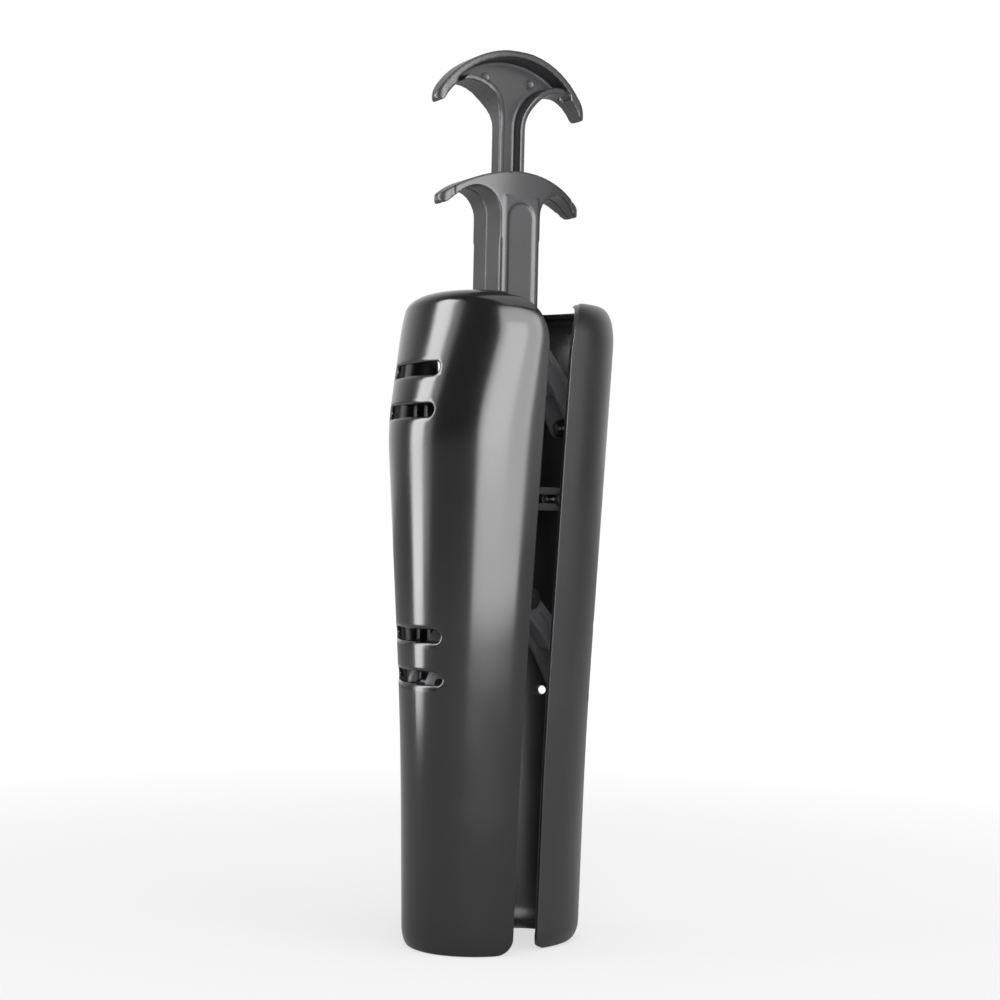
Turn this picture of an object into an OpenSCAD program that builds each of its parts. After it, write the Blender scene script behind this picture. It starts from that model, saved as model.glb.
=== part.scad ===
// Boot shaper: two half shells that spread inside a boot shaft. Squeezing the upper
// handle towards the finger grip folds four hinged arms and draws the shells together;
// a spring in the grip column spreads them again.
// Front of the boot is -X, the boot's sides are +Y and -Y, up is +Z.

/* [Shells] */
// Height of both shells, from the surface they stand on
shell_h = 300; // [270:1:360]
// Wall of both shells
shell_wall = 2; // [1.6:0.1:2.2]
// Half width of the front shell at its crown
front_half_w = 49.3; // [44:0.1:59.2]
// Depth of the front shell, from its side edges to its crown
front_depth = 46; // [42:0.1:55.2]
// Half width by which the rear shell is narrower, so that it nests in the front shell
nest_step = 4.7; // [3.6:0.1:5]
// Depth of the rear shell
rear_depth = 42.6; // [40:0.1:51.2]
// How far the front shell's top edge lies below its height at the sides
front_side_drop = 2.5; // [0:0.5:4]
// How far the rear shell's top edge does
rear_side_drop = 2.5; // [0:0.5:4]
// Gap between the shells' side edges when spread
shell_gap = 14.8; // [12:0.1:18]
// How much the front shell's half width falls for each millimetre down
shell_taper = 0.096; // [0.06:0.001:0.1]
// How far a shell's top edge rises from its sides to its middle, for each millimetre
front_tilt = 0.19; // [0:0.01:0.22]
// The same for the rear shell
rear_tilt = 0.03; // [0:0.01:0.1]
// Width of the round corner where side edge and top edge meet
edge_corner_r = 15; // [6:0.5:18]
// Height of that corner
edge_corner_h = 25; // [8:0.5:28]
// Distance that each shell travels inwards
shell_travel = 11; // [8:0.5:11]

/* [Slots and holes] */
// Height of the ventilation slots in the front shell
slot_h = 6; // [4:0.5:8]
// Length of a ventilation slot across the front
slot_w = 41; // [28:1:41]
// Diameter of the round holes in the rear shell
vent_hole_d = 4.4; // [3:0.1:6]
// Distance of the two columns of holes from the middle plane
vent_hole_y = 19.5; // [14:0.5:24]

/* [Handle] */
// Radius of the upper handle's arched top
handle_arch_r = 46; // [42:0.5:56]
// Half width of the upper handle
handle_half_w = 40.5; // [36:0.5:41.5]
// Depth of the upper handle, along Y
handle_depth = 18; // [15:0.5:22]
// Radius of the upper handle's side faces, seen from above
handle_side_r = 175; // [150:1:210]
// Width of the handle's stem, along X
stem_w = 13.8; // [12:0.1:14.4]
// Depth of the handle's stem, along Y
stem_d = 8; // [7:0.1:9]
// Stem that shows between handle and grip when the shells are spread
stem_show = 19; // [14:0.5:24]
// Rim round the handle's recess
handle_rim = 2.8; // [2:0.1:3.4]

/* [Grip and column] */
// Width of the grip tube, along X
tube_w = 21.2; // [19.8:0.1:25]
// Depth of the grip tube, along Y
tube_d = 27.8; // [25:0.1:33]
// Height of the grip's top above the shells
grip_rise = 59; // [50:0.5:70]
// Radius of the grip's arched top
grip_arch_r = 62; // [54:0.5:74]
// Half width of the grip
grip_half_w = 38; // [35:0.5:42]
// Radius of the grip's side faces, seen from above
grip_side_r = 78; // [70:1:94]
// Wall of the grip tube
tube_wall = 2.4; // [2:0.1:3]
// Thickness of the column's side plates
plate_t = 3.6; // [3:0.1:4]

/* [Mechanism] */
// Level of the upper arms' inner pivots, below the top of the shells
pivot_drop = 19; // [17:0.5:24]
// Drop of an arm from its inner to its outer pivot
arm_drop = 38.8; // [36:0.1:46]
// Distance between the upper and the lower arms
arm_pitch = 120; // [100:1:144]
// Width of an arm
arm_w = 9.6; // [8:0.1:10]
// Diameter of the hinge pins
pin_d = 3.2; // [2.5:0.1:3.8]
// Diameter of the push rod
rod_d = 5; // [4:0.1:6]
// Outer diameter of the return spring
spring_d = 12; // [10:0.1:14]
// Wire of the return spring
spring_wire = 1.3; // [1:0.1:1.5]
// Free play of a sliding or turning fit, on the radius
fit_play = 0.08; // [0.05:0.01:0.1]

/* [Hidden] */
$fn = 48;
eps = 0.01;
far = 200;

// Colours as in the photograph: black and dark grey plastic, plated steel inside
black_gloss = [0.07, 0.07, 0.075];
grey_satin = [0.16, 0.16, 0.165];
grip_black = [0.12, 0.12, 0.125];
arm_grey = [0.25, 0.25, 0.255];
steel = [0.62, 0.62, 0.64];
acetal = [0.85, 0.84, 0.8];

// ---- levels, all above the surface that the shells stand on ----
top_z = shell_h;
rim_x = shell_gap / 2;
pivot_z = top_z - pivot_drop;
grip_top = top_z + grip_rise;

// ---- arms and travel ----
pivot_x = 9.8;
reach_x = rim_x + min(front_depth, rear_depth) - 13;
arm_dx = reach_x - pivot_x;
arm_l = norm([arm_dx, arm_drop]);
rest_angle = atan2(arm_drop, arm_dx);
fold_angle = acos((arm_dx - shell_travel) / arm_l);
arm_swing = fold_angle - rest_angle;
plunger_travel = arm_l * sin(fold_angle) - arm_drop;
swing_play = arm_l * sin(fold_angle) * pow(arm_swing * PI / 360, 2) / 2;
echo(rest_angle = rest_angle, arm_swing = arm_swing, plunger_travel = plunger_travel,
     reach_x = reach_x, swing_play = swing_play);

// ---- layers across Y, from the middle outwards ----
bar_half = 3;
rib_in = bar_half + 0.8;
rib_out = rib_in + 2.6;
cheek_in = rib_out + 0.4;
cheek_out = cheek_in + 3;
plate_out = tube_d / 2;
plate_in = plate_out - plate_t;
eye_r = arm_w / 2;
pin_r = pin_d / 2;
rod_r = rod_d / 2;

// ---- general helpers ----
// An outline in X and Z, raised from y0 to y1
module xz(y0, y1) {
    translate([0, y1, 0]) rotate([90, 0, 0]) linear_extrude(y1 - y0) children();
}
// A round bar along Y
module bar_y(x, z, r, y0, y1) {
    translate([x, y1, z]) rotate([90, 0, 0]) cylinder(h = y1 - y0, r = r);
}
function arc(c, r, a0, a1, n) =
    [for (i = [0 : n]) let (a = a0 + (a1 - a0) * i / n) c + r * [cos(a), sin(a)]];
function bezier(p, n) =
    [for (i = [0 : n]) let (t = i / n, s = 1 - t)
        s * s * s * p[0] + 3 * s * s * t * p[1] + 3 * s * t * t * p[2] + t * t * t * p[3]];
function flip(points) = [for (i = [len(points) - 1 : -1 : 0]) [-points[i][0], points[i][1]]];
function both_sides(half) = concat(half, flip(half));

// ---- shells ----
// Rises from 0, smoothly, to a straight ramp past level c
function soft_ramp(d, c, m) =
    d <= c - m ? 0 : d >= c + m ? d - c : pow(d - c + m, 2) / (4 * m);
// How far a rounded shoulder draws in, d below its top
function shoulder(d, draw, height) =
    d >= height ? 0 : draw * (1 - sqrt(max(0, 1 - pow((height - d) / height, 2))));

crown = 60;
ankle = 200;
foot_round = 9;
// Straight taper above the ankle, easing below it
function taper(d) = (d - crown) - 0.6 * soft_ramp(d, ankle, 40);
function foot(d, draw) = shoulder(shell_h - d, draw, foot_round);
function front_a(d) = front_depth - (d > crown ? 0.055 * taper(d) : 0.19 * (crown - d))
    - shoulder(d, 15, 9) - foot(d, 3);
function front_b(d) = front_half_w - shell_taper * taper(d) - shoulder(d, 14.5, 22) - foot(d, 3);
function rear_a(d) = rear_depth - (d > crown ? 0.034 * taper(d) : -0.029 * (crown - d))
    - shoulder(d, 5, 14) - foot(d, 5);
// The rear shell's half width falls a little less steeply, down to nest_level
nest_level = 170;
function rear_b(d) = front_half_w - nest_step - shell_taper * taper(d) + 0.0115 * (min(d, nest_level) - crown)
    - shoulder(d, 16, 22) - foot(d, 5);
sweep_n = 24;
levels = concat([0, 0.5, 1.5, 3, 5, 8, 10.5, 14, 18, 22, 30, 42, crown],
                [for (i = [1 : 6]) crown + (shell_h - foot_round - crown) * i / 6],
                [for (t = [30, 60, 90]) shell_h - foot_round * (1 - sin(t))]);

// One ring of a half oval, its open side at the rim plane; tilt lifts its middle
function ring(a, b, z, tilt, back) = concat(
    back > 0 ? [[rim_x - back, -b, z - back * tilt]] : [],
    [for (i = [0 : sweep_n]) let (t = -90 + 180 * i / sweep_n)
        [rim_x + a * cos(t), b * sin(t), z + tilt * a * cos(t)]],
    back > 0 ? [[rim_x - back, b, z - back * tilt]] : []);

// A closed half-oval body. The inner one is drawn in by inset on all sides, reaches past
// the rim plane by back, and goes out through the open top and foot.
module half_oval(inset, is_front, back) {
    n = sweep_n + (back > 0 ? 3 : 1);
    body_rings = [for (k = [len(levels) - 1 : -1 : 0])
        let (d = levels[k],
             upper = max(0, 1 - d / crown),
             z = top_z - d - (is_front ? front_side_drop : rear_side_drop) * upper
                 - inset * max(0, 1 - d / 24) + inset * max(0, 1 - (shell_h - d) / 12))
        ring((is_front ? front_a(d) : rear_a(d)) - inset, (is_front ? front_b(d) : rear_b(d)) - inset,
             z, (is_front ? front_tilt : rear_tilt) * upper, back)];
    last = len(body_rings) - 1;
    rings = inset == 0 ? body_rings
        : concat([[for (p = body_rings[0]) p - [0, 0, inset + 1]]], body_rings,
                 [[for (p = body_rings[last]) p + [0, 0, inset + 1]]]);
    m = len(rings);
    points = [for (r = rings) each r];
    sides = [for (k = [0 : m - 2], i = [0 : n - 1])
        let (p = k * n + i, q = k * n + (i + 1) % n)
        each [[p, p + n, q], [q, p + n, q + n]]];
    polyhedron(points, concat([[for (i = [0 : n - 1]) i]], sides,
                              [[for (i = [n - 1 : -1 : 0]) (m - 1) * n + i]]));
}

// Rounds the corner of a side edge at level z by r across and h down, or up if h is negative
module corner_cut(z, r, h) {
    n = 12;
    edge = [for (i = [0 : n]) let (t = 90 * i / n) [rim_x + r - r * cos(t), z - h + h * sin(t)]];
    xz(-far, far) polygon(concat([[rim_x - 5, z - h]], edge, [[rim_x + r, z + h / 2], [rim_x - 5, z + h / 2]]));
}

// Twin ribs down the middle of a shell, with the ears that hold its three pins
rib_top = 40;
rib_foot = arm_pitch + pivot_drop + arm_drop + 10;
drive_x = reach_x - 6;
drive_drop = 73;
module ribs_outline() {
    for (z = [pivot_z - arm_drop, pivot_z - arm_drop - arm_pitch]) {
        translate([reach_x, z]) circle(eye_r);
        translate([reach_x, z - eye_r]) square([40, 2 * eye_r]);
    }
    translate([drive_x, pivot_z - drive_drop]) circle(pin_r + 2);
    translate([drive_x, pivot_z - drive_drop - pin_r - 2]) square([40, 2 * pin_r + 4]);
    translate([reach_x + 2.4, top_z - rib_foot]) square([40, rib_foot - rib_top]);
}
module rib_pair() {
    for (s = [-1, 1]) xz(min(s * rib_in, s * rib_out), max(s * rib_in, s * rib_out)) ribs_outline();
}
module rib_bores() {
    for (z = [pivot_z - arm_drop, pivot_z - arm_drop - arm_pitch])
        bar_y(reach_x, z, pin_r + 0.02, -rib_out - 1, rib_out + 1);
    bar_y(drive_x, pivot_z - drive_drop, pin_r + 0.02, -rib_out - 1, rib_out + 1);
}

module half_shell(is_front) {
    difference() {
        half_oval(0, is_front, 0);
        difference() {
            half_oval(shell_wall, is_front, 3);
            rib_pair();
        }
        corner_cut(top_z - (is_front ? front_side_drop : rear_side_drop), edge_corner_r, edge_corner_h);
        corner_cut(0, 8, -8);
        rib_bores();
        children();
    }
}

slot_drops = [35, 54, 155.6, 174.8];
module slot_cutter(drop) {
    translate([rim_x + front_a(drop) - 8.5, 0, top_z - drop]) rotate([0, 90, 0]) linear_extrude(20) {
        square([slot_h, slot_w - slot_h], center = true);
        for (s = [-1, 1]) translate([0, s * (slot_w - slot_h) / 2]) circle(slot_h / 2);
    }
}
hole_drops = [38, 55, 151, 168, 185];
module hole_cutter(drop, side) {
    translate([rim_x, side * vent_hole_y, top_z - drop]) rotate([0, 90, 0])
        cylinder(h = far, r = vent_hole_d / 2);
}

module front_shell() {
    color(black_gloss) mirror([1, 0, 0]) half_shell(true)
        for (d = slot_drops) slot_cutter(d);
}
module rear_shell() {
    color(grey_satin) half_shell(false)
        for (d = hole_drops, s = [-1, 1]) hole_cutter(d, s);
}

// ---- arms ----
// A curved strip between two pivots, bulging away from the boot's middle
bulge = 2.2;
module arm_outline() {
    r = (pow(arm_l / 2, 2) + pow(bulge, 2)) / (2 * bulge);
    intersection() {
        difference() {
            translate([arm_l / 2, bulge - r]) circle(r + arm_w / 2, $fn = 120);
            translate([arm_l / 2, bulge - r]) circle(r - arm_w / 2, $fn = 120);
        }
        translate([0, -eye_r]) square([arm_l, far]);
    }
    circle(eye_r);
    translate([arm_l, 0]) circle(eye_r);
}
module arm(level) {
    translate([pivot_x, 0, level]) rotate([0, rest_angle, 0]) difference() {
        union() {
            for (s = [-1, 1])
                xz(min(s * cheek_in, s * cheek_out), max(s * cheek_in, s * cheek_out)) arm_outline();
            xz(-cheek_in - eps, cheek_in + eps) intersection() {
                arm_outline();
                translate([arm_l * 0.3, 0]) square([arm_l * 0.32, far]);
            }
        }
        bar_y(0, 0, pin_r + fit_play, -far, far);
        bar_y(arm_l, 0, pin_r + fit_play, -far, far);
        // lightening pocket in the outer face of each cheek
        for (s = [-1, 1]) xz(s > 0 ? cheek_out - 1 : -cheek_out - 1, s > 0 ? cheek_out + 1 : -cheek_out + 1)
            intersection() {
                translate([arm_l / 2, bulge - arm_l]) difference() {
                    circle(arm_l + arm_w / 2 - 2.6, $fn = 120);
                    circle(arm_l - arm_w / 2 + 2.6, $fn = 120);
                }
                translate([arm_l * 0.2, -far / 2]) square([arm_l * 0.6, far]);
            }
    }
}
module rear_upper_arm() color(arm_grey) arm(pivot_z);
module rear_lower_arm() color(arm_grey) arm(pivot_z - arm_pitch);
module front_upper_arm() color(arm_grey) mirror([1, 0, 0]) arm(pivot_z);
module front_lower_arm() color(arm_grey) mirror([1, 0, 0]) arm(pivot_z - arm_pitch);

// ---- pins ----
// A pin with a domed head at -Y and a groove for its clip at +Y
groove_w = 0.8;
module pin(x, z, half_l) {
    difference() {
        union() {
            bar_y(x, z, pin_r, -half_l, half_l + 2);
            bar_y(x, z, pin_r + 1, -half_l - 1.2, -half_l);
        }
        difference() {
            bar_y(x, z, pin_r + 1, half_l + 0.4, half_l + 0.4 + groove_w);
            bar_y(x, z, pin_r - 0.5, half_l, half_l + 2);
        }
    }
}
module clip(x, z, half_l) {
    difference() {
        bar_y(x, z, pin_r + 1.6, half_l + 0.45, half_l + 0.35 + groove_w);
        bar_y(x, z, pin_r - 0.45, half_l, half_l + 2);
        translate([x, half_l + 1, z - 4]) cube([2 * pin_r - 1.4, 4, 8], center = true);
    }
}
column_pin_l = plate_out + 0.2;
shell_pin_l = cheek_out + 0.3;
drive_pin_l = rib_out + 0.2;
module upper_arm_pins() color(steel) for (s = [-1, 1]) pin(s * pivot_x, pivot_z, column_pin_l);
module lower_arm_pins() color(steel) for (s = [-1, 1]) pin(s * pivot_x, pivot_z - arm_pitch, column_pin_l);
module column_pin_clips() color(steel)
    for (s = [-1, 1], z = [pivot_z, pivot_z - arm_pitch]) clip(s * pivot_x, z, column_pin_l);
module shell_pins(s) for (z = [0, arm_pitch]) pin(s * reach_x, pivot_z - arm_drop - z, shell_pin_l);
module front_hinge_pins() color(steel) shell_pins(-1);
module rear_hinge_pins() color(steel) shell_pins(1);
module front_drive_pin() color(steel) pin(-drive_x, pivot_z - drive_drop, drive_pin_l);
module rear_drive_pin() color(steel) pin(drive_x, pivot_z - drive_drop, drive_pin_l);
module shell_clips(s) {
    for (z = [0, arm_pitch]) clip(s * reach_x, pivot_z - arm_drop - z, shell_pin_l);
    clip(s * drive_x, pivot_z - drive_drop, drive_pin_l);
}
module front_pin_clips() color(steel) shell_clips(-1);
module rear_pin_clips() color(steel) shell_clips(1);

// ---- upper handle ----
handle_top = grip_top + stem_show + 38;
handle_c = handle_top - handle_arch_r;
tip_r = 2.2;
tip_a = acos((handle_half_w - tip_r) / (handle_arch_r - tip_r));
fillet_r = 18;
// Highest level of the underside
under_z = handle_top - 16.4;
function stem_side() = stem_w / 2;
function handle_half() = let (
        tip = [0, handle_c] + (handle_arch_r - tip_r) * [cos(tip_a), sin(tip_a)],
        inner = tip + tip_r * [cos(tip_a - 160), sin(tip_a - 160)],
        f = [stem_side() + fillet_r, under_z - fillet_r])
    concat(arc([0, handle_c], handle_arch_r, 90, tip_a, 20),
           arc(tip, tip_r, tip_a - 30, tip_a - 160, 5),
           bezier([inner, inner + 6 * [-sin(tip_a), cos(tip_a)],
                   [f[0] + 5, under_z], [f[0], under_z]], 7),
           arc(f, fillet_r, 100, 180, 8),
           [[stem_side(), stem_foot]]);
// The recess leaves a rim all round and runs down the stem as a channel
function recess_half() = let (
        r = handle_arch_r - handle_rim - 0.6,
        end_a = tip_a + 13,
        end = [0, handle_c] + (r - 1.2) * [cos(end_a), sin(end_a)],
        f = [stem_side() + fillet_r, under_z - fillet_r],
        fr = fillet_r + handle_rim)
    concat(arc([0, handle_c], r, 90, end_a + 3, 16),
           [end],
           bezier([end + [-1.6, -0.4], end + [-4, 1], [f[0] + 3, f[1] + fr], [f[0], f[1] + fr]], 5),
           arc(f, fr, 100, 180, 8),
           [[stem_side() - handle_rim, block_top]]);
// Depth seen from the end: slim stem, flaring into the head
function handle_side_half() = let (h = handle_depth / 2, q = stem_d / 2, z0 = under_z - fillet_r)
    concat([[q, stem_foot]],
           bezier([[q, z0 - 4], [q, z0 + 10], [h, z0 + 8], [h, z0 + 19]], 10),
           [[h, handle_top - 1], [h - 1, handle_top]]);
// Seen from above: a lens with blunt ends
module lens_plan(half_len, half_depth, side_r, end_r) {
    cut = half_len - end_r;
    translate([0, 0, -far]) linear_extrude(5 * far) {
        for (m = [0, 1]) mirror([0, m]) intersection() {
            translate([0, half_depth - side_r]) circle(side_r, $fn = 200);
            translate([-cut, -eps]) square([2 * cut, side_r]);
        }
        for (m = [0, 1]) mirror([m, 0]) translate([cut, 0]) circle(end_r);
    }
}

collar_h = 15;
flange_t = 3;
block_top = grip_top - collar_h;
stem_foot = block_top - 18;
web_front = 2;
flange_half = tube_w / 2 - tube_wall - 0.3;
module upper_handle() {
    side = handle_side_half();
    color(grip_black) difference() {
        union() {
            intersection() {
                xz(-handle_depth, handle_depth) polygon(both_sides(handle_half()));
                rotate([90, 0, 90]) translate([0, 0, -far]) linear_extrude(2 * far) polygon(both_sides(side));
                lens_plan(handle_half_w, handle_depth / 2 + eps, handle_side_r, 5.5);
            }
            translate([-flange_half, -flange_half, block_top - flange_t])
                cube([2 * flange_half, 2 * flange_half, flange_t]);
        }
        xz(-far, web_front) polygon(both_sides(recess_half()));
        // shallow rounded hollow at the back of the head
        xz(web_front + 2.4, far) intersection() {
            translate([0, handle_c]) circle(handle_arch_r - 5, $fn = 100);
            translate([0, under_z + 26]) circle(24);
        }
        translate([0, 0, stem_foot - 1]) cylinder(h = block_top - stem_foot + 1 - flange_t, r = rod_r + 0.02);
        bar_y(0, stem_foot + 7, cross_pin_r + 0.02, -far, far);
    }
}
cross_pin_r = 1;
module rod_cross_pin() color(steel) bar_y(0, stem_foot + 7, cross_pin_r, -stem_d / 2 + 0.1, stem_d / 2 - 0.1);

// ---- push rod and drive bar ----
bar_z = pivot_z - drive_drop;
bar_end = drive_x + 4;
hub_h = 14;
slot_play = swing_play + 0.15;
module push_rod() color(steel) difference() {
    translate([0, 0, bar_z - hub_h / 2 - 9])
        cylinder(h = block_top - flange_t - 0.2 - (bar_z - hub_h / 2 - 9), r = rod_r);
    bar_y(0, stem_foot + 7, cross_pin_r + 0.02, -far, far);
}
module drive_bar() color(arm_grey) difference() {
    union() {
        xz(-bar_half, bar_half) difference() {
            union() {
                translate([-bar_end + 5.5, bar_z - 5.5]) square([2 * bar_end - 11, 11]);
                for (s = [-1, 1]) translate([s * (bar_end - 5.5), bar_z]) circle(5.5);
            }
            for (s = [-1, 1]) translate([s * (drive_x - shell_travel / 2), bar_z]) {
                square([shell_travel + 0.6, 2 * (pin_r + slot_play)], center = true);
                for (e = [-1, 1]) translate([e * (shell_travel / 2 + 0.3), 0]) circle(pin_r + slot_play);
            }
            for (s = [-1, 1]) translate([s * 12, bar_z]) circle(2.6);
        }
        translate([0, 0, bar_z - hub_h / 2]) cylinder(h = hub_h, r = rod_r + 3);
    }
    translate([0, 0, bar_z - hub_h]) cylinder(h = 2 * hub_h, r = rod_r + 0.02);
}
washer_t = 1.2;
module rod_washer() color(steel) translate([0, 0, bar_z - hub_h / 2 - washer_t]) difference() {
    cylinder(h = washer_t, r = rod_r + 3);
    translate([0, 0, -1]) cylinder(h = 4, r = rod_r + 0.1);
}
nut_h = 4;
module rod_nut() color(steel) translate([0, 0, bar_z - hub_h / 2 - washer_t - nut_h]) difference() {
    cylinder(h = nut_h, r = 4.6 * rod_d / 5, $fn = 6);
    translate([0, 0, -1]) cylinder(h = nut_h + 2, r = rod_r + 0.02);
}

// ---- column: two mouldings that meet in the middle plane ----
tube_foot = top_z - 8;
bush_seat = 6;
bush_r = 5.6;
grip_c = grip_top - grip_arch_r;
grip_tip_r = 2.4;
grip_tip_a = acos((grip_half_w - grip_tip_r) / (grip_arch_r - grip_tip_r));
grip_fillet = 11.5;
grip_under = grip_top - 8.3;
function grip_half_outline() = let (
        tip = [0, grip_c] + (grip_arch_r - grip_tip_r) * [cos(grip_tip_a), sin(grip_tip_a)],
        inner = tip + grip_tip_r * [cos(grip_tip_a - 160), sin(grip_tip_a - 160)],
        f = [tube_w / 2 + grip_fillet, grip_under - grip_fillet])
    concat(arc([0, grip_c], grip_arch_r, 90, grip_tip_a, 14),
           arc(tip, grip_tip_r, grip_tip_a - 30, grip_tip_a - 160, 5),
           bezier([inner, inner + 4 * [-sin(grip_tip_a), cos(grip_tip_a)],
                   [f[0] + 5, grip_under], [f[0], grip_under]], 7),
           arc(f, grip_fillet, 101, 180, 7),
           [[tube_w / 2, f[1] - grip_fillet]]);
module round_rect(w, d, r) {
    square([w - 2 * r, d], center = true);
    square([w, d - 2 * r], center = true);
    for (sx = [-1, 1], sy = [-1, 1]) translate([sx * (w / 2 - r), sy * (d / 2 - r)]) circle(r);
}
plate_foot = pivot_z - arm_pitch - 24;
plate_w = 17;
module plate_outline() {
    translate([-tube_w / 2, tube_foot - 1]) square([tube_w, 3]);
    translate([-plate_w / 2, plate_foot]) square([plate_w, tube_foot - plate_foot]);
    for (s = [-1, 1], z = [pivot_z, pivot_z - arm_pitch]) translate([s * pivot_x, z]) circle(pin_r + 3.6);
    for (z = [pivot_z, pivot_z - arm_pitch])
        translate([-pivot_x, z - pin_r - 3.6]) square([2 * pivot_x, 2 * pin_r + 7.2]);
}
screw_places = [[-5.9, pivot_z - 19], [5.9, pivot_z - 19], [0, pivot_z - 102], [0, pivot_z - 138]];
boss_r = 2.9;
screw_r = 1.3;
head_r = 2.7;
head_t = 1.8;
panel_r = 7;
module column_body() {
    difference() {
        union() {
            intersection() {
                xz(-tube_d / 2, tube_d / 2) polygon(both_sides(grip_half_outline()));
                lens_plan(grip_half_w, tube_d / 2 + eps, grip_side_r, 6.3);
            }
            translate([0, 0, tube_foot]) linear_extrude(grip_top - 12 - tube_foot)
                round_rect(tube_w, tube_d, 2.4);
            for (s = [-1, 1])
                xz(min(s * plate_in, s * plate_out), max(s * plate_in, s * plate_out)) plate_outline();
            for (p = screw_places) bar_y(p[0], p[1], boss_r, -plate_in - eps, plate_in + eps);
            translate([-plate_w / 2, -plate_in - eps, plate_foot])
                cube([plate_w, 2 * plate_in + 2 * eps, 5]);
        }
        // collar that guides the stem, then the spring chamber, then the seat of the bush
        translate([0, 0, block_top - eps]) linear_extrude(far)
            square([stem_w + 0.7, stem_d + 0.7], center = true);
        translate([0, 0, tube_foot + bush_seat]) linear_extrude(block_top - tube_foot - bush_seat)
            round_rect(tube_w - 2 * tube_wall, tube_d - 2 * tube_wall, 2);
        translate([0, 0, tube_foot - 1]) cylinder(h = bush_seat + 2, r = bush_r + 0.03);
        // shallow arched panel in both broad faces
        for (s = [-1, 1]) xz(s > 0 ? tube_d / 2 - 0.8 : -far, s > 0 ? far : -tube_d / 2 + 0.8) {
            translate([0, grip_top - 21.6]) circle(panel_r);
            translate([-panel_r, tube_foot + 4]) square([2 * panel_r, grip_top - 21.6 - tube_foot - 4]);
        }
        for (s = [-1, 1], z = [pivot_z, pivot_z - arm_pitch])
            bar_y(s * pivot_x, z, pin_r + 0.02, -far, far);
        for (p = screw_places) {
            bar_y(p[0], p[1], screw_r + 0.03, -plate_out + 1.5, far);
            bar_y(p[0], p[1], head_r + 0.2, plate_out - head_t - 0.1, far);
        }
    }
}
module grip_left() color(grip_black) intersection() {
    column_body();
    translate([-far, -far, 0]) cube([2 * far, far, 4 * far]);
}
module grip_right() color(grip_black) intersection() {
    column_body();
    translate([-far, 0, 0]) cube([2 * far, far, 4 * far]);
}
module column_screws() color(steel) for (p = screw_places) difference() {
    union() {
        bar_y(p[0], p[1], screw_r, -plate_out + 2, plate_out - head_t);
        bar_y(p[0], p[1], head_r, plate_out - head_t, plate_out - 0.1);
    }
    translate([p[0], plate_out, p[1]]) {
        cube([0.8, 1.6, 3.4], center = true);
        cube([3.4, 1.6, 0.8], center = true);
    }
}

// ---- bush and spring ----
module rod_bush() color(acetal) difference() {
    union() {
        translate([0, 0, tube_foot - 1]) cylinder(h = bush_seat + 1, r = bush_r);
        translate([0, 0, tube_foot + bush_seat]) cylinder(h = 1.4, r = bush_r + 1.4);
    }
    translate([0, 0, tube_foot - 2]) cylinder(h = 12, r = rod_r + fit_play);
}
coils = 7;
spring_z0 = tube_foot + bush_seat + 1.4;
spring_r = (spring_d - spring_wire) / 2;
spring_l = stem_foot - spring_z0 - 0.1;
rings_per_coil = 8;
wire_sides = 6;
function spring_point(t) = let (end = spring_wire * 1.02,
        rise = (spring_l - spring_wire - 2 * end) / (coils - 2),
        c = t * coils,
        z = c < 1 ? end * c : c > coils - 1 ? end + rise * (coils - 2) + end * (c - coils + 1)
                  : end + rise * (c - 1))
    [spring_r * cos(360 * c), spring_r * sin(360 * c), spring_z0 + spring_wire / 2 + z];
module return_spring() {
    n = coils * rings_per_coil;
    lean = atan2((spring_l - spring_wire) / coils, 2 * PI * spring_r);
    points = [for (i = [0 : n], j = [0 : wire_sides - 1])
        let (p = spring_point(i / n), a = 360 * i / rings_per_coil, b = 360 * j / wire_sides,
             w = spring_wire / 2, out = w * cos(b), up = w * sin(b))
        p + [out * cos(a) + up * sin(lean) * sin(a), out * sin(a) - up * sin(lean) * cos(a), up * cos(lean)]];
    sides = [for (i = [0 : n - 1], j = [0 : wire_sides - 1])
        let (p = i * wire_sides + j, q = i * wire_sides + (j + 1) % wire_sides)
        each [[p, p + wire_sides, q], [q, p + wire_sides, q + wire_sides]]];
    color(steel) polyhedron(points, concat([[for (j = [0 : wire_sides - 1]) j]], sides,
        [[for (j = [wire_sides - 1 : -1 : 0]) n * wire_sides + j]]));
}
coil_gaps = [for (i = [0 : 4 : coils * 32 - 36])
    norm(spring_point((i + 32) / (coils * 32)) - spring_point(i / (coils * 32))) - spring_wire];
echo(least_coil_gap = min([for (i = [8 : len(coil_gaps) - 9]) coil_gaps[i]]));

upper_handle();
rod_cross_pin();
push_rod();
drive_bar();
rod_washer();
rod_nut();
return_spring();
rod_bush();
grip_left();
grip_right();
column_screws();
upper_arm_pins();
lower_arm_pins();
column_pin_clips();
front_upper_arm();
front_lower_arm();
rear_upper_arm();
rear_lower_arm();
front_shell();
front_hinge_pins();
front_drive_pin();
front_pin_clips();
rear_shell();
rear_hinge_pins();
rear_drive_pin();
rear_pin_clips();
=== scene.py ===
"""Studio model of a boot shaper: two half shells on a folding arm linkage, a finger grip
and an upper handle. Lengths in the functions are in millimetres, objects are in metres."""

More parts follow.
